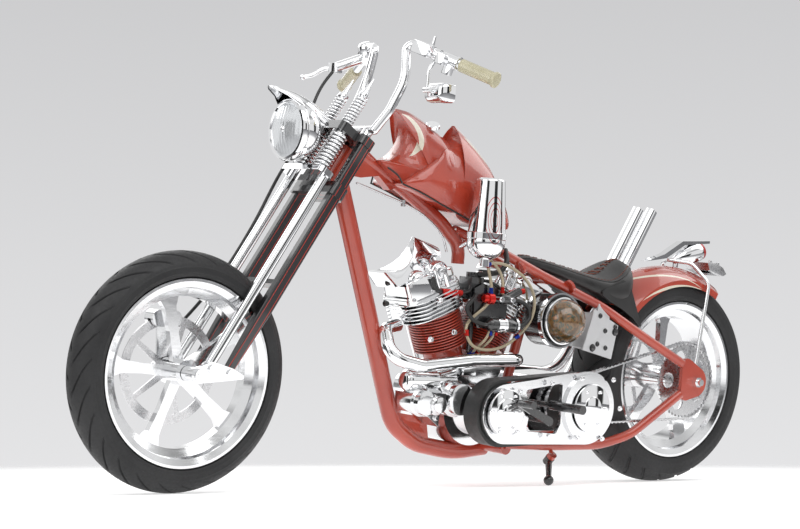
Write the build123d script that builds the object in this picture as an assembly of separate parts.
from build123d import *
from math import atan2, cos, degrees, pi, radians, sin, sqrt
import os

# Chopper motorcycle: rigid frame, springer fork, open V-twin, open belt primary, chain drive.
# It is drawn upright with +X forward, +Y left, +Z up, from the floor under the rear axle,
# and then leaned onto its side stand. All sizes are in millimetres.

# Driving dimensions
WHEELBASE = 1776
RAKE = 32
TRAIL = 102
STEER_LOCK = 24
LEAN = 6.87
FIT = 0.3

# Wheels and tyres
RIM_FLANGE_RADIUS = 243
BEAD_RADIUS = 229
RIM_WALL = 9
RIM_DROP = 24
SPOKES = 5
SPOKE_THICKNESS = 20
FRONT_TYRE_RADIUS = 312.5
FRONT_TYRE_WIDTH = 120
FRONT_RIM_WIDTH = 108
REAR_TYRE_RADIUS = 328
REAR_TYRE_WIDTH = 180
REAR_RIM_WIDTH = 164
SHOULDER_DROP = 33
AXLE_RADIUS = 10
AXLE_CLEARANCE = 0.5
FRONT_HUB_RADIUS = 34
REAR_HUB_RADIUS = 42
REAR_HUB_WIDTH = 150

# Brakes and final drive
FRONT_DISC_RADIUS = 142
REAR_DISC_RADIUS = 130
DISC_RING = 24
DISC_THICKNESS = 5
FRONT_DISC_Y = -48
CHAIN_PITCH = 15.875
REAR_TEETH = 46
FRONT_TEETH = 23
CHAIN_Y = 114
CHAIN_WIDTH = 18
CHAIN_HEIGHT = 13
SPROCKET_THICKNESS = 6
FRONT_HUB_WIDTH = 2 * (abs(FRONT_DISC_Y) - DISC_THICKNESS / 2)
TOOTH_HEIGHT = 7
CHAIN_CLEARANCE = 2

# Fork
LEG_Y = 78
LEG_DEPTH = 36
LEG_WIDTH = 26
SPRING_LEG_OFFSET = 54
SPRING_LEG_Y = 75
SPRING_LEG_RADIUS = 14
PIVOT_RADIUS = 8
BOSS_RADIUS = 15
ROCKER_THICKNESS = 9
STEM_RADIUS = 13
STEM_CLEARANCE = 1
HEAD_TUBE_RADIUS = 29
TREE_LOW = 935
TREE_LOW_HEIGHT = 36
HEAD_GAP = 5
HEAD_TUBE_LENGTH = 122
TREE_TOP_HEIGHT = 26
YOKE_BASE = 963
YOKE_HEIGHT = 17
SPRING_OFFSET = 63
SPRING_Y = 46
SPRING_ROD_RADIUS = 7
LOWER_SPRING_RADIUS = 24
UPPER_SPRING_RADIUS = 17
UPPER_SPRING_LENGTH = 96
SPEAR_LENGTH = 62
LAMP_RADIUS = 82
LAMP_DEPTH = 140
BAR_RADIUS = 12.7
GRIP_RADIUS = 17
GRIP_LENGTH = 118

# Frame
DOWN_TUBE_RADIUS = 25
BACKBONE_RADIUS = 19
RAIL_RADIUS = 14
SEAT_POST_RADIUS = 15
AXLE_PLATE_Y = 158
AXLE_PLATE_THICKNESS = 12
LOWER_RAIL_Y = 110

# Exhaust pipes
PIPE_RADIUS = 19
PIPE_Y = -184

# Engine, in the middle of the frame
CRANK_X = 831
CRANK_Z = 232
CYLINDER_ANGLE = 22.5
CASE_RADIUS = 106
CASE_WIDTH = 150
DECK = 152
BARREL_TOP = 228
HEAD_TOP = 322
ROCKER_TOP = 438
BARREL_RADIUS = 52
FIN_RADIUS = 72
BARREL_FINS = 6
HEAD_FINS = 6
FIN_THICKNESS = 3.5

# Primary drive on the left
PRIMARY_Y = 222
PLATE_THICKNESS = 12
FRONT_PULLEY_RADIUS = 88
REAR_PULLEY_RADIUS = 92
BELT_THICKNESS = 7
BELT_WIDTH = 58
CLUTCH_X = 516
CLUTCH_Z = 251

# Side stand
STAND_FOLD = 114


def rod(start, end, radius, end_radius=None):
    """A straight round bar or cone between two points."""
    start = Vector(start)
    end = Vector(end)
    plane = Plane(origin=start, z_dir=end - start)
    length = (end - start).length
    if end_radius is None or end_radius == radius:
        return Solid.make_cylinder(radius, length, plane)
    return Solid.make_cone(radius, end_radius, length, plane)


def cross_rod(x, z, y_from, y_to, radius, end_radius=None):
    """A round bar that lies across the bike."""
    return rod((x, y_from, z), (x, y_to, z), radius, end_radius)


def tube(points, radii, radius):
    """A round bar along straight runs joined by tangent arcs."""
    path = FilletPolyline(*points, radius=radii)
    section = Plane(origin=path @ 0, z_dir=path % 0) * Circle(radius)
    return sweep(section, path=path).solid()


def plate(outline, y_from, y_to):
    """A flat piece standing in the bike's length, from an outline in X and Z."""
    face = Plane.XZ * outline
    return Pos(0, y_to, 0) * extrude(face, amount=y_to - y_from)


def slab(points, y_from, y_to, corner=0):
    """A flat piece from corner points, with rounded corners."""
    if corner:
        wire = FilletPolyline(*points, radius=corner, close=True)
    else:
        wire = Polyline(*points, close=True)
    return plate(make_face(wire), y_from, y_to)


def hull_of_circles(circles, y_from, y_to):
    """A flat piece whose outline is the belt round a few circles (x, z, radius)."""
    outlines = [(Pos(x, z) * Circle(r)).edge() for x, z, r in circles]
    return plate(make_hull(outlines), y_from, y_to)


def mirrored(shape):
    """The same piece on the right side."""
    return mirror(shape, about=Plane.XZ)


def turned(points, x, z):
    """A solid turned about an axle across the bike, from points (y, radius)."""
    face = make_face(Plane.YZ * Polyline(*points, close=True))
    return Pos(x, 0, z) * revolve(face, axis=Axis.Y)


def fork_point(along, ahead, y=0):
    """A point of the fork, from the floor up the steering axis and ahead of it."""
    x = WHEELBASE + TRAIL - along * sin(radians(RAKE)) + ahead * cos(radians(RAKE))
    z = along * cos(radians(RAKE)) + ahead * sin(radians(RAKE))
    return (x, y, z)


def fork_coordinates(x, z):
    """The place of a point along the steering axis and ahead of it."""
    back = x - WHEELBASE - TRAIL
    along = z * cos(radians(RAKE)) - back * sin(radians(RAKE))
    ahead = back * cos(radians(RAKE)) + z * sin(radians(RAKE))
    return along, ahead


# A plane in the fork whose own X runs ahead, own Y to the right and own Z up the steering axis
FORK = Plane(
    origin=fork_point(0, 0),
    x_dir=(cos(radians(RAKE)), 0, sin(radians(RAKE))),
    z_dir=(-sin(radians(RAKE)), 0, cos(radians(RAKE))),
)


def fork_block(along, height, ahead, depth, y, width, corner=0):
    """A block square to the steering axis, by its base, height, middle and width."""
    outline = RectangleRounded(depth, width, corner) if corner else Rectangle(depth, width)
    return FORK * (Pos(ahead, y, along) * extrude(outline, amount=height))


nodes = {}


def largest(shape):
    """The main solid of a shape, without the crumbs a cut may leave."""
    return shape.solids().sort_by(SortBy.VOLUME)[-1]


def fitted(shape, *names):
    """A piece cut to sit against the named pieces that carry it."""
    for name in names:
        shape = shape - nodes[name]
    return largest(shape)


# Wheels
def rim_profile(width):
    half = width / 2
    outer = [(half, RIM_FLANGE_RADIUS), (half - 6, RIM_FLANGE_RADIUS), (half - 8, BEAD_RADIUS),
             (half - 24, BEAD_RADIUS - 2), (half - 34, BEAD_RADIUS - RIM_DROP)]
    inner = [(half - 38, BEAD_RADIUS - RIM_DROP - RIM_WALL), (half - 26, BEAD_RADIUS - RIM_WALL - 3),
             (half - 8, BEAD_RADIUS - RIM_WALL), (half, RIM_FLANGE_RADIUS - 7)]
    left = [(-y, r) for y, r in reversed(outer)]
    return outer + left + [(-y, r) for y, r in reversed(inner)] + inner


def tyre(radius, width, rim_width, x):
    """A closed round-crowned tyre seated between the rim's flanges."""
    bead = rim_width / 2 - 9
    side = width / 2
    shoulder = radius - SHOULDER_DROP
    right = [
        Line((-bead, BEAD_RADIUS + FIT), (bead, BEAD_RADIUS + FIT)),
        Line((bead, BEAD_RADIUS + FIT), (bead, RIM_FLANGE_RADIUS + 1)),
        Line((bead, RIM_FLANGE_RADIUS + 1), (side - 4, RIM_FLANGE_RADIUS + 5)),
        ThreePointArc((side - 4, RIM_FLANGE_RADIUS + 5), (side, (RIM_FLANGE_RADIUS + shoulder) / 2),
                      (side - 3, shoulder)),
        ThreePointArc((side - 3, shoulder), (0, radius), (3 - side, shoulder)),
        ThreePointArc((3 - side, shoulder), (-side, (RIM_FLANGE_RADIUS + shoulder) / 2),
                      (4 - side, RIM_FLANGE_RADIUS + 5)),
        Line((4 - side, RIM_FLANGE_RADIUS + 5), (-bead, RIM_FLANGE_RADIUS + 1)),
        Line((-bead, RIM_FLANGE_RADIUS + 1), (-bead, BEAD_RADIUS + FIT)),
    ]
    face = make_face(Plane.YZ * Wire(right))
    return Pos(x, 0, radius) * revolve(face, axis=Axis.Y)


def wheel(rim_width, hub_radius, hub_width, bore, first_spoke, x, z):
    """A rim, its blade spokes and its hub as one casting."""
    barrel = BEAD_RADIUS - RIM_DROP - RIM_WALL + 3
    body = turned(rim_profile(rim_width), x, z)
    hub = cross_rod(x, z, -hub_width / 2, hub_width / 2, hub_radius)
    blade = [(hub_radius - 8, -15), (110, -13), (170, -17), (barrel, -30), (barrel, 30), (170, 17), (110, 13),
             (hub_radius - 8, 15)]
    outline = make_face(Polyline(*blade, close=True))
    for spoke in range(SPOKES):
        turn = first_spoke + spoke * 360 / SPOKES
        blade_solid = plate(Pos(x, z) * Rot(0, 0, turn) * outline, -SPOKE_THICKNESS / 2, SPOKE_THICKNESS / 2)
        body += blade_solid
    body += hub
    body -= cross_rod(x, z, -hub_width, hub_width, bore)
    return body.solid()


def disc_ring(radius, y, hub_radius, hub_end, bore, x, z):
    """A brake ring on a thin five-armed carrier that sits on the end of the hub."""
    ring = cross_rod(x, z, y - DISC_THICKNESS / 2, y + DISC_THICKNESS / 2, radius)
    ring -= cross_rod(x, z, y - DISC_THICKNESS, y + DISC_THICKNESS, radius - DISC_RING)
    arm = make_face(Polyline((hub_radius - 6, -9), (radius - DISC_RING + 3, -6), (radius - DISC_RING + 3, 6),
                             (hub_radius - 6, 9), close=True))
    for spoke in range(SPOKES):
        turn = 36 + spoke * 360 / SPOKES
        ring += plate(Pos(x, z) * Rot(0, 0, turn) * arm, y - DISC_THICKNESS / 2, y + DISC_THICKNESS / 2)
    side = 1 if y > 0 else -1
    low, high = sorted((side * hub_end, y + side * DISC_THICKNESS / 2))
    ring += cross_rod(x, z, low, high, hub_radius)
    ring -= cross_rod(x, z, low - 1, high + 1, bore)
    return ring.solid()


BORE = AXLE_RADIUS + AXLE_CLEARANCE
nodes["front_rim"] = wheel(FRONT_RIM_WIDTH, FRONT_HUB_RADIUS, FRONT_HUB_WIDTH, BORE, 4, WHEELBASE,
                           FRONT_TYRE_RADIUS)
nodes["front_tyre"] = tyre(FRONT_TYRE_RADIUS, FRONT_TYRE_WIDTH, FRONT_RIM_WIDTH, WHEELBASE)
nodes["front_disc"] = disc_ring(FRONT_DISC_RADIUS, FRONT_DISC_Y, FRONT_HUB_RADIUS, FRONT_HUB_WIDTH / 2, BORE,
                                WHEELBASE, FRONT_TYRE_RADIUS)
nodes["rear_rim"] = wheel(REAR_RIM_WIDTH, REAR_HUB_RADIUS, REAR_HUB_WIDTH, BORE, 20, 0, REAR_TYRE_RADIUS)
nodes["rear_tyre"] = tyre(REAR_TYRE_RADIUS, REAR_TYRE_WIDTH, REAR_RIM_WIDTH, 0)
nodes["rear_disc"] = disc_ring(REAR_DISC_RADIUS, -CHAIN_Y, REAR_HUB_RADIUS, REAR_HUB_WIDTH / 2, BORE, 0,
                               REAR_TYRE_RADIUS)


# Final drive
def pitch_radius(teeth):
    return CHAIN_PITCH / 2 / sin(pi / teeth)


def sprocket(teeth, x, z, y):
    """A toothed disc, its teeth cut as a star of short trapezoids."""
    root = pitch_radius(teeth) - TOOTH_HEIGHT
    tip = pitch_radius(teeth) - CHAIN_CLEARANCE
    points = []
    for tooth in range(teeth):
        for share, radius in ((-0.28, root), (-0.12, tip), (0.12, tip), (0.28, root)):
            angle = 2 * pi * (tooth + share) / teeth
            points.append((x + radius * cos(angle), z + radius * sin(angle)))
    return slab(points, y - SPROCKET_THICKNESS / 2, y + SPROCKET_THICKNESS / 2)


REAR_SPROCKET_RADIUS = pitch_radius(REAR_TEETH)
FRONT_SPROCKET_RADIUS = pitch_radius(FRONT_TEETH)
rear_sprocket = sprocket(REAR_TEETH, 0, REAR_TYRE_RADIUS, CHAIN_Y)
for hole in range(SPOKES):
    angle = 2 * pi * hole / SPOKES
    rear_sprocket -= cross_rod(72 * cos(angle), REAR_TYRE_RADIUS + 72 * sin(angle), CHAIN_Y - 9, CHAIN_Y + 9, 24)
rear_sprocket += cross_rod(0, REAR_TYRE_RADIUS, REAR_HUB_WIDTH / 2, CHAIN_Y + SPROCKET_THICKNESS / 2,
                           REAR_HUB_RADIUS)
rear_sprocket -= cross_rod(0, REAR_TYRE_RADIUS, 0, CHAIN_Y + 9, BORE)
nodes["rear_sprocket"] = rear_sprocket.solid()


def chain_loop():
    """The chain's side outline: a belt round both sprockets with a waist at every other half pitch."""
    front = Vector(CLUTCH_X, CLUTCH_Z)
    rear = Vector(0, REAR_TYRE_RADIUS)
    apart = (front - rear).length
    heading = degrees(atan2(front.Y - rear.Y, front.X - rear.X))
    spread = degrees(atan2(REAR_SPROCKET_RADIUS - FRONT_SPROCKET_RADIUS, apart))
    run = sqrt(apart**2 - (REAR_SPROCKET_RADIUS - FRONT_SPROCKET_RADIUS) ** 2)
    rear_wrap = radians(180 + 2 * spread) * REAR_SPROCKET_RADIUS
    front_wrap = radians(180 - 2 * spread) * FRONT_SPROCKET_RADIUS
    length = 2 * run + rear_wrap + front_wrap
    links = round(length / CHAIN_PITCH)
    top_angle = radians(heading + 90 - spread)
    low_angle = radians(heading - 90 + spread)

    def place(way, offset):
        """The point a given way along the loop, pushed outward by an offset."""
        if way < run:
            angle = top_angle
            base = rear + REAR_SPROCKET_RADIUS * Vector(cos(angle), sin(angle))
            return base + way * Vector(sin(angle), -cos(angle)) + offset * Vector(cos(angle), sin(angle))
        way -= run
        if way < front_wrap:
            angle = top_angle - way / FRONT_SPROCKET_RADIUS
            return front + (FRONT_SPROCKET_RADIUS + offset) * Vector(cos(angle), sin(angle))
        way -= front_wrap
        if way < run:
            angle = low_angle
            base = front + FRONT_SPROCKET_RADIUS * Vector(cos(angle), sin(angle))
            return base + way * Vector(sin(angle), -cos(angle)) + offset * Vector(cos(angle), sin(angle))
        way -= run
        angle = low_angle - way / REAR_SPROCKET_RADIUS
        return rear + (REAR_SPROCKET_RADIUS + offset) * Vector(cos(angle), sin(angle))

    outer = []
    inner = []
    for half in range(2 * links):
        offset = CHAIN_HEIGHT / 2 if half % 2 else CHAIN_HEIGHT / 2 - 3
        spot = place(half * length / links / 2, offset)
        outer.append((spot.X, spot.Y))
        if half % 2:
            spot = place(half * length / links / 2, 0)
            inner.append((spot.X, spot.Y))
    ring = make_face(Polyline(*outer, close=True)) - make_face(Polyline(*inner, close=True))
    return plate(ring, CHAIN_Y - CHAIN_WIDTH / 2, CHAIN_Y + CHAIN_WIDTH / 2)


nodes["drive_chain"] = chain_loop().solid()

# Rear axle with its nuts and spacers
AXLE_NUT = 14
AXLE_STUB = 12
AXLE_END = AXLE_PLATE_Y + AXLE_PLATE_THICKNESS / 2 + AXLE_NUT + AXLE_STUB
rear_axle = cross_rod(0, REAR_TYRE_RADIUS, -AXLE_END, AXLE_END, AXLE_RADIUS)
for side in (1, -1):
    spacer_from = CHAIN_Y + SPROCKET_THICKNESS / 2 + 2
    spacer = cross_rod(0, REAR_TYRE_RADIUS, spacer_from, AXLE_PLATE_Y - AXLE_PLATE_THICKNESS / 2, 17)
    nut = extrude(RegularPolygon(17, 6), amount=AXLE_NUT)
    nut = Pos(0, AXLE_END - AXLE_STUB, REAR_TYRE_RADIUS) * Rot(90, 0, 0) * nut
    rear_axle += spacer if side > 0 else mirrored(spacer)
    rear_axle += nut if side > 0 else mirrored(nut)
nodes["rear_axle"] = rear_axle.solid()

# Fork: rigid rear legs with both trees and the stem
AXLE_ALONG, AXLE_AHEAD = fork_coordinates(WHEELBASE, FRONT_TYRE_RADIUS)
REAR_PIVOT = (AXLE_ALONG + 56, 0)
FRONT_PIVOT = (AXLE_ALONG + 35, SPRING_LEG_OFFSET)
HEAD_LOW = TREE_LOW + TREE_LOW_HEIGHT + HEAD_GAP
HEAD_HIGH = HEAD_LOW + HEAD_TUBE_LENGTH
TREE_TOP = HEAD_HIGH + HEAD_GAP
TREE_TOP_END = TREE_TOP + TREE_TOP_HEIGHT


def fork_pin(spot, y_from, y_to, radius):
    x, _, z = fork_point(*spot)
    return cross_rod(x, z, y_from, y_to, radius)


def leg_section(along, depth, width, y):
    outline = FORK * (Pos(0, y, along) * RectangleRounded(depth, width, 5))
    return outline.face()


BOSS_OUT = LEG_Y + LEG_WIDTH / 2
legs = Part()
for y in (LEG_Y, -LEG_Y):
    knee = REAR_PIVOT[0] + 190
    lower = loft([leg_section(REAR_PIVOT[0], 22, LEG_WIDTH - 4, y), leg_section(knee, LEG_DEPTH, LEG_WIDTH, y)])
    upper = loft([leg_section(knee, LEG_DEPTH, LEG_WIDTH, y), leg_section(TREE_TOP, LEG_DEPTH, LEG_WIDTH, y)])
    legs += lower
    legs += upper
    legs += fork_pin(REAR_PIVOT, y - LEG_WIDTH / 2, y + LEG_WIDTH / 2, BOSS_RADIUS)
lower_tree = fork_block(TREE_LOW, TREE_LOW_HEIGHT, 0, 50, 0, 2 * BOSS_OUT + 14, 14)
top_tree = fork_block(TREE_TOP, TREE_TOP_HEIGHT, 2, 50, 0, 2 * BOSS_OUT + 8, 14)
top_tree += fork_block(TREE_TOP, TREE_TOP_HEIGHT, SPRING_OFFSET - 12, 70, 0, 2 * SPRING_Y + 44, 14)
stem = rod(fork_point(TREE_LOW, 0), fork_point(TREE_TOP_END, 0), STEM_RADIUS)
cap = rod(fork_point(TREE_TOP_END, 0), fork_point(TREE_TOP_END + 14, 0), 17, 13)
legs += lower_tree
legs += top_tree
legs += stem
legs += cap
for y in (SPRING_Y, -SPRING_Y):
    legs -= rod(fork_point(TREE_TOP - 1, SPRING_OFFSET, y), fork_point(TREE_TOP_END + 1, SPRING_OFFSET, y),
                SPRING_ROD_RADIUS + FIT)
# A brace joins the legs just above the tyre
BRACE_ALONG = 645
legs += fork_block(BRACE_ALONG, 14, 0, 26, 0, 2 * LEG_Y, 4)
nodes["fork_legs"] = largest(legs)

# Fork: sprung front legs with their yoke, rods and spear tips
spring_legs = Part()
for y in (SPRING_LEG_Y, -SPRING_LEG_Y):
    spring_legs += rod(fork_point(FRONT_PIVOT[0], SPRING_LEG_OFFSET, y), fork_point(YOKE_BASE, SPRING_LEG_OFFSET, y),
                       SPRING_LEG_RADIUS)
    side = 1 if y > 0 else -1
    boss_low, boss_high = sorted((y - side * 10, side * BOSS_OUT))
    spring_legs += fork_pin(FRONT_PIVOT, boss_low, boss_high, BOSS_RADIUS)
spring_legs += fork_block(YOKE_BASE, YOKE_HEIGHT, SPRING_LEG_OFFSET + 8, 52, 0, 2 * SPRING_LEG_Y + 38, 16)
LOWER_SPRING_BASE = YOKE_BASE + YOKE_HEIGHT
UPPER_SPRING_TOP = TREE_TOP_END + UPPER_SPRING_LENGTH
for y in (SPRING_Y, -SPRING_Y):
    spring_legs += rod(fork_point(LOWER_SPRING_BASE - 1, SPRING_OFFSET, y),
                       fork_point(UPPER_SPRING_TOP + 2, SPRING_OFFSET, y), SPRING_ROD_RADIUS)
    spring_legs += rod(fork_point(UPPER_SPRING_TOP, SPRING_OFFSET, y),
                       fork_point(UPPER_SPRING_TOP + 8, SPRING_OFFSET, y), UPPER_SPRING_RADIUS - 2)
    spring_legs += rod(fork_point(UPPER_SPRING_TOP + 8, SPRING_OFFSET, y),
                       fork_point(UPPER_SPRING_TOP + SPEAR_LENGTH, SPRING_OFFSET, y), 10, 1.5)
nodes["fork_spring_legs"] = largest(spring_legs)


def spring_stack(base, length, radius, turns, y):
    """A coil spring seen as its stack of round turns on a sleeve round the rod."""
    wire = length / turns
    points = [(SPRING_ROD_RADIUS + FIT, 0)]
    for turn in range(turns):
        points += [(radius - 7, turn * wire), (radius, (turn + 0.35) * wire), (radius, (turn + 0.65) * wire)]
    points += [(radius - 7, length), (SPRING_ROD_RADIUS + FIT, length)]
    face = make_face(Plane.XZ * Polyline(*points, close=True))
    stack = revolve(face, axis=Axis.Z)
    return FORK * (Pos(SPRING_OFFSET, y, base) * stack)


springs = []
for y in (SPRING_Y, -SPRING_Y):
    springs.append(spring_stack(LOWER_SPRING_BASE, TREE_TOP - LOWER_SPRING_BASE, LOWER_SPRING_RADIUS, 7, y).solid())
    springs.append(spring_stack(TREE_TOP_END, UPPER_SPRING_LENGTH, UPPER_SPRING_RADIUS, 8, y).solid())
nodes["fork_springs"] = Compound(children=springs)

# Fork: rockers with the front axle, spacers and nuts
ROCKER_Y = BOSS_OUT + ROCKER_THICKNESS / 2
rocker_circles = [(AXLE_ALONG, AXLE_AHEAD, 21), (*FRONT_PIVOT, 19), (*REAR_PIVOT, 15),
                  (REAR_PIVOT[0] + 12, REAR_PIVOT[1] - 34, 6)]
circles = [(*(fork_point(along, ahead)[i] for i in (0, 2)), r) for along, ahead, r in rocker_circles]
left_rocker = hull_of_circles(circles, BOSS_OUT, BOSS_OUT + ROCKER_THICKNESS)
rockers = Part()
for part in (left_rocker, mirrored(left_rocker)):
    rockers += part
SPACER_IN = FRONT_HUB_WIDTH / 2 + 2
rockers += cross_rod(WHEELBASE, FRONT_TYRE_RADIUS, -ROCKER_Y - 18, ROCKER_Y + 18, AXLE_RADIUS)
left_spacer = cross_rod(WHEELBASE, FRONT_TYRE_RADIUS, SPACER_IN, BOSS_OUT, 20)
right_spacer = cross_rod(WHEELBASE, FRONT_TYRE_RADIUS, -BOSS_OUT, FRONT_DISC_Y - DISC_THICKNESS / 2 - 2, 20)
rockers += left_spacer
rockers += right_spacer
for spot in (REAR_PIVOT, FRONT_PIVOT):
    rockers += fork_pin(spot, BOSS_OUT + ROCKER_THICKNESS, BOSS_OUT + ROCKER_THICKNESS + 6, 12)
    rockers += fork_pin(spot, -BOSS_OUT - ROCKER_THICKNESS - 6, -BOSS_OUT - ROCKER_THICKNESS, 12)
for side in (1, -1):
    nut_from = side * (BOSS_OUT + ROCKER_THICKNESS)
    nut_low, nut_high = sorted((nut_from, nut_from + side * 12))
    rockers += cross_rod(WHEELBASE, FRONT_TYRE_RADIUS, nut_low, nut_high, 17)
nodes["fork_rockers"] = largest(rockers)

# Front brake caliper on its link to the right rocker
CALIPER_ANGLE = 80
caliper_reach = FRONT_DISC_RADIUS - 6
caliper_x = WHEELBASE + caliper_reach * cos(radians(CALIPER_ANGLE))
caliper_z = FRONT_TYRE_RADIUS + caliper_reach * sin(radians(CALIPER_ANGLE))
caliper = hull_of_circles([(caliper_x - 22, caliper_z, 22), (caliper_x + 22, caliper_z, 22)],
                          FRONT_DISC_Y - 24, FRONT_DISC_Y + 18)
caliper -= cross_rod(WHEELBASE, FRONT_TYRE_RADIUS, FRONT_DISC_Y - DISC_THICKNESS / 2 - 5,
                     FRONT_DISC_Y + DISC_THICKNESS / 2 + 5, FRONT_DISC_RADIUS + 6)
link = hull_of_circles([(WHEELBASE, FRONT_TYRE_RADIUS, 30), (caliper_x, caliper_z, 16)],
                       FRONT_DISC_Y - 12.5, FRONT_DISC_Y - 7)
caliper += link
caliper -= cross_rod(WHEELBASE, FRONT_TYRE_RADIUS, FRONT_DISC_Y - 30, FRONT_DISC_Y, 20)
nodes["front_caliper"] = largest(caliper)

# Headlamp on the front of the top tree
LAMP_X = 1545
LAMP_Z = 964
bowl_profile = make_face(
    Wire([
        Line((0, 0), (LAMP_RADIUS - 4, 0)),
        Line((LAMP_RADIUS - 4, 0), (LAMP_RADIUS, -6)),
        Line((LAMP_RADIUS, -6), (LAMP_RADIUS, -20)),
        ThreePointArc((LAMP_RADIUS, -20), (LAMP_RADIUS * 0.74, -80), (14, -LAMP_DEPTH)),
        Line((14, -LAMP_DEPTH), (0, -LAMP_DEPTH)),
        Line((0, -LAMP_DEPTH), (0, 0)),
    ])
)
LAMP = Plane(origin=(LAMP_X, 0, LAMP_Z), x_dir=(0, 1, 0), z_dir=(1, 0, 0))
bowl = LAMP * (Rot(90, 0, 0) * revolve(bowl_profile, axis=Axis.Y))
arm_end = fork_point(TREE_TOP + TREE_TOP_HEIGHT / 2, SPRING_OFFSET + 23)
bowl += rod((LAMP_X - LAMP_DEPTH + 20, 0, LAMP_Z), arm_end, 12)
nodes["headlight"] = fitted(bowl, "fork_legs")
LENS_RADIUS = LAMP_RADIUS - 8
LENS_RISE = 14
lens_ball = (LENS_RADIUS**2 + LENS_RISE**2) / 2 / LENS_RISE
lens = Pos(0, 0, LENS_RISE - lens_ball) * Sphere(lens_ball) & Cylinder(LENS_RADIUS, 2 * LENS_RISE,
                                                                       align=(Align.CENTER, Align.CENTER, Align.MIN))
nodes["headlight_lens"] = largest(LAMP * lens)
visor = slab([(1562, 1069), (1500, 1072), (1440, 1060), (1390, 1030), (1352, 1002), (1372, 992), (1420, 1030),
              (1480, 1052)], -16, 16)
nodes["headlight_visor"] = fitted(visor, "fork_legs", "headlight")

# Handlebar with risers, and what it carries
BAR_BASE = (1250, 985)
BAR_CORNER = (1162, 67, 1237)
BAR_END = (1065, 332, 1138)
left_path = [(BAR_BASE[0], 64, BAR_BASE[1]), (1216, 80, 1040), (1172, 86, 1130), BAR_CORNER, BAR_END]
left_bar = tube(left_path, [60, 150, 18], BAR_RADIUS)
handlebar = left_bar + mirrored(left_bar)
handlebar += cross_rod(*BAR_BASE, -64, 64, BAR_RADIUS)
handlebar += Pos(BAR_BASE[0], 64, BAR_BASE[1]) * Sphere(BAR_RADIUS)
handlebar += Pos(BAR_BASE[0], -64, BAR_BASE[1]) * Sphere(BAR_RADIUS)
for y in (40, -40):
    handlebar += rod(fork_point(TREE_TOP_END - 6, -10, y), (BAR_BASE[0], y, BAR_BASE[1]), 15)
nodes["handlebar"] = fitted(handlebar, "fork_legs")


def along_bar(way, side=1):
    """A point on the straight outer part of the handlebar, measured from its corner."""
    corner = Vector(*BAR_CORNER)
    end = Vector(*BAR_END)
    spot = corner + (end - corner).normalized() * way
    return (spot.X, side * spot.Y, spot.Z)


BAR_REACH = (Vector(*BAR_END) - Vector(*BAR_CORNER)).length
grips = []
for side in (1, -1):
    start = along_bar(BAR_REACH - GRIP_LENGTH + 6, side)
    finish = along_bar(BAR_REACH + 6, side)
    flange = along_bar(BAR_REACH - 2, side)
    grip = rod(start, finish, GRIP_RADIUS) + rod(flange, finish, GRIP_RADIUS + 5)
    grips.append((grip - nodes["handlebar"]).solid())
nodes["grips"] = Compound(children=grips)

# Left switch block and right lever with its cylinder
switch_block = rod(along_bar(48), along_bar(96), 24)
clamp = rod(along_bar(118), along_bar(146), 20)
right_block = rod(along_bar(60, -1), along_bar(112, -1), 25)
right_block += rod(along_bar(96, -1), (1215, -180, 1166), 13)
right_block += rod((1215, -180, 1166), (1266, -262, 1136), 7, 5)
right_block += Pos(1266, -262, 1136) * Sphere(8)
controls = [(switch_block - nodes["handlebar"]).solid(), (clamp - nodes["handlebar"]).solid(),
            (right_block - nodes["handlebar"] - nodes["grips"].children[1]).solid()]
nodes["hand_controls"] = Compound(children=controls)

# Mirror hung under the left bar
mirror_head = Pos(1118, 165, 1104) * Rot(0, 0, -52) * Box(18, 96, 56)
mirror_piece = fillet(mirror_head.edges().filter_by(Axis.Z), 6)
stalk = rod(along_bar(106), (1150, 168, 1150), 5) + rod((1150, 168, 1150), (1126, 168, 1118), 5)
nodes["mirror"] = fitted(stalk + mirror_piece, "handlebar", "hand_controls")

# Frame: head tube, gusset, backbone
head_tube = rod(fork_point(HEAD_LOW, 0), fork_point(HEAD_HIGH, 0), HEAD_TUBE_RADIUS)
backbone_path = [(1236, 0, 915), (1084, 0, 838), (937, 0, 757), (862, 0, 690), (862, 0, 640)]
backbone = tube(backbone_path, [900, 300, 60], BACKBONE_RADIUS)
gusset = slab([(1226, 930), (1242, 921), (1264, 903), (1290, 905), (1318, 862), (1245, 856), (1183, 866),
               (1140, 830), (1100, 846)], -15, 15)
frame_top = backbone + gusset + head_tube
frame_top -= rod(fork_point(HEAD_LOW - 1, 0), fork_point(HEAD_HIGH + 1, 0), STEM_RADIUS + STEM_CLEARANCE)
nodes["frame_backbone"] = frame_top.solid()

# Frame: down tube, cradle bend and belly with its cross tube
down_tube = tube([(1322, 0, 884), (1060, 0, 180), (975, 0, 124), (832, 0, 99), (712, 0, 112)],
                 [110, 160, 380], DOWN_TUBE_RADIUS)
web = slab([(1080, 250), (1004, 204), (950, 212), (930, 120), (1030, 140)], -14, 14)
cross_tube = cross_rod(724, 122, -LOWER_RAIL_Y - 4, LOWER_RAIL_Y + 4, 19)
cradle = down_tube + web + cross_tube
nodes["frame_down_tube"] = fitted(cradle, "frame_backbone")

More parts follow.
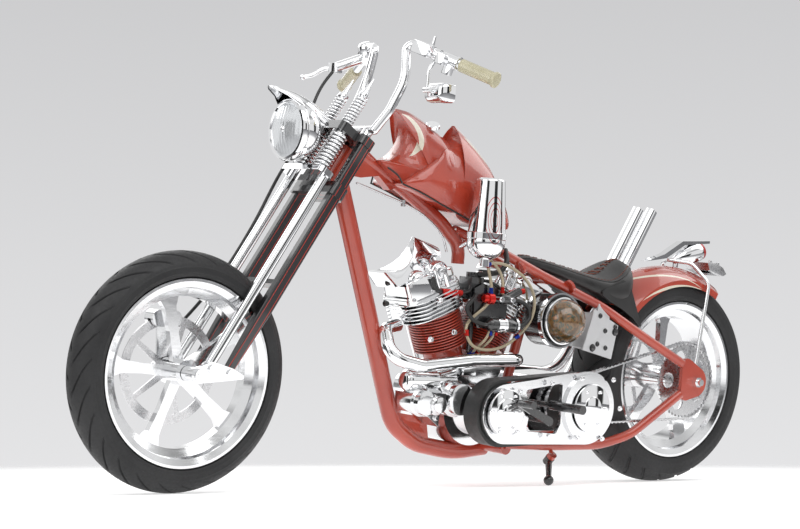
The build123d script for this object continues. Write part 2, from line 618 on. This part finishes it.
# Frame: rear rails and axle plates
upper_path = [(884, 0, 736), (736, 40, 683), (590, 62, 625), (373, 100, 545), (223, 130, 465),
              (60, AXLE_PLATE_Y, 384)]
lower_path = [(730, LOWER_RAIL_Y, 133), (544, LOWER_RAIL_Y, 127), (343, 114, 129), (239, 134, 163),
              (60, AXLE_PLATE_Y, 290)]
left_upper = tube(upper_path, [400, 500, 500, 500], RAIL_RADIUS)
left_lower = tube(lower_path, [900, 300, 200], RAIL_RADIUS)
plate_in = AXLE_PLATE_Y - AXLE_PLATE_THICKNESS / 2
plate_out = AXLE_PLATE_Y + AXLE_PLATE_THICKNESS / 2
axle_plate = hull_of_circles([(-2, REAR_TYRE_RADIUS, 46), (40, REAR_TYRE_RADIUS + 50, 22),
                              (40, REAR_TYRE_RADIUS - 36, 22)], plate_in, plate_out)
axle_plate -= cross_rod(0, REAR_TYRE_RADIUS, plate_in - 1, plate_out + 1, AXLE_RADIUS)
nodes["frame_lower_rail_left"] = largest(fitted(left_lower, "frame_down_tube") + axle_plate)
nodes["frame_lower_rail_right"] = largest(mirrored(nodes["frame_lower_rail_left"]))
nodes["frame_upper_rail_left"] = fitted(left_upper, "frame_backbone", "frame_lower_rail_left")
right_upper = mirrored(nodes["frame_upper_rail_left"])
nodes["frame_upper_rail_right"] = fitted(right_upper, "frame_upper_rail_left")

# Frame: seat post with its cross tube
post = rod((560, 0, 617), (682, 0, 134), SEAT_POST_RADIUS)
post += cross_rod(562, 613, -62, 62, SEAT_POST_RADIUS)
nodes["frame_seat_post"] = fitted(post, "frame_upper_rail_left", "frame_upper_rail_right", "frame_down_tube")

# Fuel tank over the backbone, with its two pairs of horns
tank_side = make_face(
    Wire([
        Line((1146, 862), (1216, 918)),
        ThreePointArc((1216, 918), (1160, 968), (1178, 1054)),
        ThreePointArc((1178, 1054), (1056, 1034), (930, 986)),
        ThreePointArc((930, 986), (934, 1006), (938, 1028)),
        ThreePointArc((938, 1028), (842, 976), (766, 900)),
        Line((766, 900), (716, 744)),
        Line((716, 744), (870, 744)),
        Line((870, 744), (1146, 862)),
    ])
)
tank_block = plate(tank_side, -130, 130)
tank_left = [(1222, 26), (1184, 38), (1120, 68), (1050, 90), (960, 88), (860, 78), (716, 56)]
tank_right = [(x, -y) for x, y in reversed(tank_left)]
tank_plan = make_face(Polyline(*tank_left, *tank_right, close=True))
tank_shape = tank_block & extrude(tank_plan, amount=1200)
tunnel = tube(backbone_path, [900, 300, 60], BACKBONE_RADIUS + FIT)
nodes["fuel_tank"] = fitted(tank_shape - tunnel, "frame_backbone", "frame_upper_rail_left", "frame_upper_rail_right")


# Engine
def cylinder_plane(side):
    """The plane of a cylinder at the crank, its own Z up the bore, its own X forward."""
    tilt = radians(CYLINDER_ANGLE) * side
    return Plane(origin=(CRANK_X, 0, CRANK_Z), x_dir=(cos(tilt), 0, -sin(tilt)), z_dir=(sin(tilt), 0, cos(tilt)))


FILTER_X = 981
FILTER_Z = 308
case = cross_rod(CRANK_X, CRANK_Z, -CASE_WIDTH / 2, CASE_WIDTH / 2, CASE_RADIUS)
for side in (1, -1):
    deck = extrude(Rectangle(118, CASE_WIDTH - 24), amount=DECK)
    case += cylinder_plane(side) * deck
case += cross_rod(CRANK_X, CRANK_Z, CASE_WIDTH / 2, PRIMARY_Y - BELT_WIDTH - 30, 74, 46)
case += hull_of_circles([(CRANK_X, CRANK_Z, 92), (CRANK_X + 96, CRANK_Z + 44, 40), (CRANK_X - 70, CRANK_Z + 60, 40)],
                        -CASE_WIDTH / 2 - 46, -CASE_WIDTH / 2)
case += slab([(CRANK_X + 60, CRANK_Z - 20), (CRANK_X + 190, CRANK_Z - 24), (CRANK_X + 190, CRANK_Z + 24),
              (CRANK_X + 60, CRANK_Z + 60)], -54, 54)
case += rod((900, 62, FILTER_Z), (FILTER_X, 62, FILTER_Z), 22)
nodes["engine_case"] = fitted(case, "frame_down_tube")

barrels = []
heads = []
for side in (1, -1):
    bore = extrude(Circle(BARREL_RADIUS), amount=BARREL_TOP - DECK)
    for fin in range(BARREL_FINS):
        height = 6 + fin * (BARREL_TOP - DECK - 12) / (BARREL_FINS - 1)
        bore += Pos(0, 0, height) * extrude(Circle(FIN_RADIUS), amount=FIN_THICKNESS)
    barrels.append((cylinder_plane(side) * (Pos(0, 0, DECK) * bore)).solid())
    head = extrude(RectangleRounded(120, 116, 30), amount=HEAD_TOP - BARREL_TOP)
    for fin in range(HEAD_FINS):
        height = 4 + fin * (HEAD_TOP - BARREL_TOP - 20) / (HEAD_FINS - 1)
        head += Pos(0, 0, height) * extrude(RectangleRounded(166, 156, 60), amount=FIN_THICKNESS)
    box = extrude(RectangleRounded(150, 128, 22), amount=ROCKER_TOP - HEAD_TOP - 34)
    box += Pos(0, 0, ROCKER_TOP - HEAD_TOP - 34) * extrude(RectangleRounded(128, 104, 18), amount=34)
    head += Pos(0, 0, HEAD_TOP - BARREL_TOP) * box
    heads.append((cylinder_plane(side) * (Pos(0, 0, BARREL_TOP) * head)).solid())
# The two cylinders meet in the V on the bike's middle, where their fins are trimmed
front_half = Pos(CRANK_X + 500 + 1, 0, 500) * Box(1000, 600, 1200)
rear_half = Pos(CRANK_X - 500 - 1, 0, 500) * Box(1000, 600, 1200)
halves = (front_half, rear_half)
nodes["engine_barrels"] = Compound(children=[largest(part & half) for part, half in zip(barrels, halves)])
nodes["engine_heads"] = Compound(children=[fitted(part & half, "frame_backbone") for part, half in zip(heads, halves)])

# Oil filter can in front of the case
nodes["oil_filter"] = rod((FILTER_X, 62, FILTER_Z), (FILTER_X + 142, 62, FILTER_Z), 34)

# Gearbox behind the engine
gearbox = slab([(430, 170), (626, 170), (640, 250), (600, 330), (460, 338), (430, 300)], -70, 96, 14)
gearbox += cross_rod(CLUTCH_X, CLUTCH_Z, 96, PRIMARY_Y - BELT_WIDTH - 26, 40)
gearbox += cross_rod(CLUTCH_X, CLUTCH_Z, -112, -70, 60)
gearbox += cross_rod(CLUTCH_X, CLUTCH_Z, CHAIN_Y - SPROCKET_THICKNESS / 2, CHAIN_Y + SPROCKET_THICKNESS / 2,
                     FRONT_SPROCKET_RADIUS + 1)
nodes["gearbox"] = fitted(gearbox, "frame_seat_post", "drive_chain")

# Primary drive: belt round two pulleys, and the outer plate with its caps
belt_out = PRIMARY_Y - PLATE_THICKNESS - 4
belt_in = belt_out - BELT_WIDTH
belt = hull_of_circles([(CRANK_X, CRANK_Z, FRONT_PULLEY_RADIUS + BELT_THICKNESS),
                        (CLUTCH_X, CLUTCH_Z, REAR_PULLEY_RADIUS + BELT_THICKNESS)], belt_in, belt_out)
belt -= hull_of_circles([(CRANK_X, CRANK_Z, FRONT_PULLEY_RADIUS), (CLUTCH_X, CLUTCH_Z, REAR_PULLEY_RADIUS)],
                        belt_in - 1, belt_out + 1)
for x, z, radius in ((CRANK_X, CRANK_Z, FRONT_PULLEY_RADIUS), (CLUTCH_X, CLUTCH_Z, REAR_PULLEY_RADIUS)):
    belt += cross_rod(x, z, belt_in, belt_out, radius)
belt += cross_rod(CRANK_X, CRANK_Z, PRIMARY_Y - BELT_WIDTH - 30, belt_in, 30)
belt += cross_rod(CLUTCH_X, CLUTCH_Z, PRIMARY_Y - BELT_WIDTH - 26, belt_in, 30)
nodes["primary_belt"] = belt.solid()
cover = hull_of_circles([(CRANK_X, CRANK_Z, 84), (CLUTCH_X, CLUTCH_Z, 106)], PRIMARY_Y - PLATE_THICKNESS, PRIMARY_Y)
window = [(754, 184), (636, 176), (620, 205), (622, 322), (766, 300), (740, 250)]
cover -= slab(window, PRIMARY_Y - 30, PRIMARY_Y + 30, 8)
cover += cross_rod(CRANK_X, CRANK_Z, PRIMARY_Y, PRIMARY_Y + 8, 62)
cover += cross_rod(CLUTCH_X, CLUTCH_Z, PRIMARY_Y, PRIMARY_Y + 9, 98)
cover += cross_rod(CLUTCH_X, CLUTCH_Z, PRIMARY_Y + 9, PRIMARY_Y + 16, 28)
cover += cross_rod(CRANK_X, CRANK_Z, belt_out, PRIMARY_Y - PLATE_THICKNESS, 20)
cover += cross_rod(CLUTCH_X, CLUTCH_Z, belt_out, PRIMARY_Y - PLATE_THICKNESS, 20)
nodes["primary_plate"] = cover.solid()

# Exhaust: one pipe back along the left and across, one down the right, both kicked up behind
left_pipe = tube([(1068, 0, 455), (1138, 36, 446), (1160, 96, 372), (1060, 112, 352), (880, 118, 372),
                  (700, 112, 376), (662, 50, 374), (662, -96, 366)], [40, 50, 50, 300, 50, 50], PIPE_RADIUS)
nodes["exhaust_left"] = fitted(left_pipe, "engine_heads", "frame_down_tube", "engine_barrels")
rear_port = [(722, -40, 480), (716, -140, 472), (660, PIPE_Y, 404), (560, PIPE_Y, 330), (262, PIPE_Y, 318),
             (60, PIPE_Y, 664), (-50, PIPE_Y, 856)]
upper_pipe = tube(rear_port, [46, 50, 90, 120, 600], PIPE_RADIUS)
crossed = [(662, -96, 366), (662, -136, 364), (640, PIPE_Y, 300), (560, PIPE_Y, 266), (232, PIPE_Y, 266),
           (-2, PIPE_Y, 664), (-112, PIPE_Y, 856)]
lower_pipe = tube(crossed, [30, 34, 60, 120, 600], PIPE_RADIUS)
nodes["exhaust_right"] = Compound(children=[fitted(upper_pipe, "engine_heads"), fitted(lower_pipe, "exhaust_left")])

# Oil tank drum on the left of the seat post
drum = cross_rod(540, 495, 24, 108, 77)
dome = Pos(540, 108, 495) * Rot(-90, 0, 0) * (Sphere(60) & Pos(0, 0, 50) * Box(140, 140, 100))
drum += Pos(0, 14, 0) * dome
drum += cross_rod(540, 495, 108, 122, 66)
for x, z in ((584, 522), (598, 464)):
    drum += cross_rod(x, z, 6, 24, 12)
nodes["oil_tank"] = fitted(drum, "frame_seat_post")
strap = cross_rod(540, 495, 96, 110, 82) - cross_rod(540, 495, 90, 120, 77)
nodes["oil_tank_strap"] = strap.solid()
box_outline = [(422, 536), (318, 489), (338, 388), (459, 413)]
battery = slab([(414, 524), (330, 486), (346, 398), (450, 420)], 60, 120) + slab(box_outline, 120, 126)
battery += slab([(340, 482), (396, 508), (392, 552), (346, 534)], 88, 112)
nodes["battery_box"] = fitted(battery, "oil_tank", "oil_tank_strap", "frame_upper_rail_left")

# Mirror-polished canister beside the tank's tail
can_profile = make_face(
    Wire([
        Line((0, -14), (14, -14)),
        Line((14, -14), (14, 6)),
        ThreePointArc((14, 6), (44, 24), (54, 62)),
        Line((54, 62), (56, 64)),
        Line((56, 64), (56, 80)),
        Line((56, 80), (53, 82)),
        Line((53, 82), (42, 224)),
        ThreePointArc((42, 224), (39, 231), (32, 234)),
        Line((32, 234), (0, 234)),
        Line((0, 234), (0, -14)),
    ])
)
canister = Pos(892, 150, 652) * revolve(Plane.XZ * can_profile, axis=Axis.Z)
canister += rod((880, 100, 720), (868, BACKBONE_RADIUS - 4, 690), 9)
nodes["canister"] = fitted(canister, "frame_backbone", "fuel_tank", "engine_heads")

# Rear fender, its struts, lamp and plate
FENDER_RADIUS = 353
FENDER_HALF = 100
FENDER_WALL = 3
fender_face = make_face(
    Wire([
        Line((-FENDER_HALF, 292), (-FENDER_HALF, 312)),
        ThreePointArc((-FENDER_HALF, 312), (0, FENDER_RADIUS), (FENDER_HALF, 312)),
        Line((FENDER_HALF, 312), (FENDER_HALF, 292)),
        Line((FENDER_HALF, 292), (FENDER_HALF - FENDER_WALL, 292)),
        Line((FENDER_HALF - FENDER_WALL, 292), (FENDER_HALF - FENDER_WALL, 310)),
        ThreePointArc((FENDER_HALF - FENDER_WALL, 310), (0, FENDER_RADIUS - FENDER_WALL),
                      (FENDER_WALL - FENDER_HALF, 310)),
        Line((FENDER_WALL - FENDER_HALF, 310), (FENDER_WALL - FENDER_HALF, 292)),
        Line((FENDER_WALL - FENDER_HALF, 292), (-FENDER_HALF, 292)),
    ])
)
fender = revolve(Plane.YZ * fender_face, axis=Axis.Y, revolution_arc=78)
# The sheet is turned from straight up; it starts 50 degrees ahead of that
nodes["rear_fender"] = (Pos(0, 0, REAR_TYRE_RADIUS) * Rot(0, 50, 0) * Rot(0, -78, 0) * fender).solid()

strut = tube([(-16, AXLE_PLATE_Y - 16, 366), (-86, 112, 634), (-56, 60, 694), (-10, 0, 700)], [40, 40], 6)
strut += cross_rod(-16, 366, AXLE_PLATE_Y - 22, AXLE_PLATE_Y - AXLE_PLATE_THICKNESS / 2, 9)
strut_pair = (strut + mirrored(strut)) - nodes["rear_fender"]
nodes["fender_strut"] = largest(strut_pair)

lamp_axis = Plane(origin=(-30, 0, 700), z_dir=(-125, 0, 36))
lamp_body = make_face(Wire([
    Line((0, 0), (0, 118)),
    Line((0, 118), (30, 118)),
    ThreePointArc((30, 118), (27, 60), (4, 0)),
    Line((4, 0), (0, 0)),
]))
tail = lamp_axis * revolve(Plane.XZ * lamp_body, axis=Axis.Z)
tail += rod((-48, 0, 706), (-44, 0, 668), 9)
nodes["tail_light"] = fitted(tail, "rear_fender", "fender_strut")
tail_lens = lamp_axis * (Pos(0, 0, 118) * Cylinder(28, 12, align=(Align.CENTER, Align.CENTER, Align.MIN)))
nodes["tail_lens"] = tail_lens.solid()
fin = slab([(99, 690), (20, 716), (-60, 762), (-185, 770), (-185, 762), (-70, 750), (10, 704)], -14, 14)
nodes["tail_fin"] = fitted(fin, "rear_fender", "tail_light", "tail_lens", "fender_strut")
licence = slab([(-146, 686), (-296, 646), (-297, 642), (-147, 682)], -90, 90)
licence += slab([(-168, 680), (-132, 718), (-118, 712), (-150, 678)], -13, 13)
nodes["licence_plate"] = fitted(licence, "rear_fender", "tail_light", "tail_lens")

# Seat on the rails and the front of the fender
seat_side = [(628, 652), (616, 682), (454, 654), (341, 624), (272, 640), (226, 684), (166, 656), (164, 640),
             (300, 522), (373, 563), (482, 605), (590, 643)]
seat_plan = make_face(Polyline((630, 26), (590, 44), (454, 72), (385, 108), (250, 116), (160, 104), (160, -104),
                               (250, -116), (385, -108), (454, -72), (590, -44), (630, -26), close=True))
seat = slab(seat_side, -130, 130) & extrude(seat_plan, amount=1200)
nodes["seat"] = fitted(seat, "rear_fender", "frame_upper_rail_left", "frame_upper_rail_right",
                       "frame_seat_post", "fuel_tank")

# Foot controls
left_foot = slab([(660, 140), (690, 140), (690, 272), (660, 272)], 112, 122, 5)
left_foot += cross_rod(675, 260, 122, 234, 8)
left_foot += cross_rod(675, 260, 234, 365, 13)
lever = hull_of_circles([(685, 214, 13), (812, 268, 8)], 238, 246)
lever += cross_rod(685, 214, 122, 246, 7)
lever += cross_rod(806, 266, 246, 305, 11)
left_foot += lever
right_foot = mirrored(slab([(660, 140), (690, 140), (690, 272), (660, 272)], 112, 122, 5))
right_foot += mirrored(cross_rod(675, 216, 122, 200, 8) + cross_rod(675, 216, 200, 330, 13))
right_foot += mirrored(hull_of_circles([(675, 186, 12), (800, 214, 8)], 140, 148))
right_foot += mirrored(cross_rod(675, 186, 122, 148, 8) + cross_rod(796, 213, 148, 230, 11))
nodes["foot_controls"] = Compound(children=[fitted(left_foot, "frame_lower_rail_left"),
                                            fitted(right_foot, "frame_lower_rail_right", "exhaust_right")])

# Side stand under the left rail
STAND_PIVOT = Vector(548, LOWER_RAIL_Y, 86)
STAND_DOWN = Vector(0.515, 0.607, -0.607).normalized()
STAND_BACK = Vector(-0.99, 0.12, -0.05).normalized()
STAND_AXIS = STAND_DOWN.cross(STAND_BACK).normalized()


def lean_point(x, y, z):
    """Where a point of the upright bike comes to when it leans to the left."""
    c = cos(radians(LEAN))
    s = sin(radians(LEAN))
    return (x, c * y + s * z, c * z - s * y)


# Leaning on a round crown lowers the wheel a little, and the bike is lifted by as much
def crown_radius(width):
    half = width / 2 - 3
    return (half**2 + SHOULDER_DROP**2) / 2 / SHOULDER_DROP


LIFT = crown_radius(REAR_TYRE_WIDTH) * (1 - cos(radians(LEAN)))
FOOT_RADIUS = 15


def floor_distance(point):
    return lean_point(point.X, point.Y, point.Z)[2] + LIFT


# The leg is as long as takes its ball foot down to the floor
fall = (floor_distance(STAND_PIVOT) - floor_distance(STAND_PIVOT + STAND_DOWN * 100)) / 100
stand_reach = (floor_distance(STAND_PIVOT) - FOOT_RADIUS) / fall
foot = STAND_PIVOT + STAND_DOWN * stand_reach
STAND_BOSS = 11
stand = rod(STAND_PIVOT, foot, 10, 8)
stand += Pos(*foot) * Sphere(FOOT_RADIUS)
stand += rod(STAND_PIVOT - STAND_AXIS * STAND_BOSS, STAND_PIVOT + STAND_AXIS * STAND_BOSS, 14)
stand -= rod(STAND_PIVOT - STAND_AXIS * 2 * STAND_BOSS, STAND_PIVOT + STAND_AXIS * 2 * STAND_BOSS, PIVOT_RADIUS + FIT)
nodes["side_stand"] = largest(stand)

# The stand's lug and pin under the left rail
lug_low = STAND_PIVOT + STAND_AXIS * (STAND_BOSS + FIT)
lug_high = STAND_PIVOT + STAND_AXIS * (STAND_BOSS + 14)
lug = rod(lug_low, lug_high, 13) + rod(STAND_PIVOT - STAND_AXIS * (STAND_BOSS + 3), lug_high, PIVOT_RADIUS)
lug += rod((lug_low + lug_high) * 0.5, (STAND_PIVOT.X, LOWER_RAIL_Y, 127), 6)
nodes["frame_lower_rail_left"] = largest(nodes["frame_lower_rail_left"] + lug)

# Park the bike and put the origin under the middle of its box
parked = {}
for name, shape in nodes.items():
    parked[name] = Pos(0, 0, LIFT) * (Rot(-LEAN, 0, 0) * shape)
boxes = [part.bounding_box() for part in parked.values()]
low = [min(getattr(box.min, axis) for box in boxes) for axis in "XYZ"]
high = [max(getattr(box.max, axis) for box in boxes) for axis in "XYZ"]
ORIGIN = ((low[0] + high[0]) / 2, (low[1] + high[1]) / 2, low[2])


def world(x, y, z):
    """Where a point of the upright bike ends up in the part's own frame."""
    x, y, z = lean_point(x, y, z)
    return (x - ORIGIN[0], y - ORIGIN[1], z + LIFT - ORIGIN[2])


os.makedirs("parts", exist_ok=True)
for name, shape in parked.items():
    export_step(Pos(-ORIGIN[0], -ORIGIN[1], -ORIGIN[2]) * shape, f"parts/{name}.step")
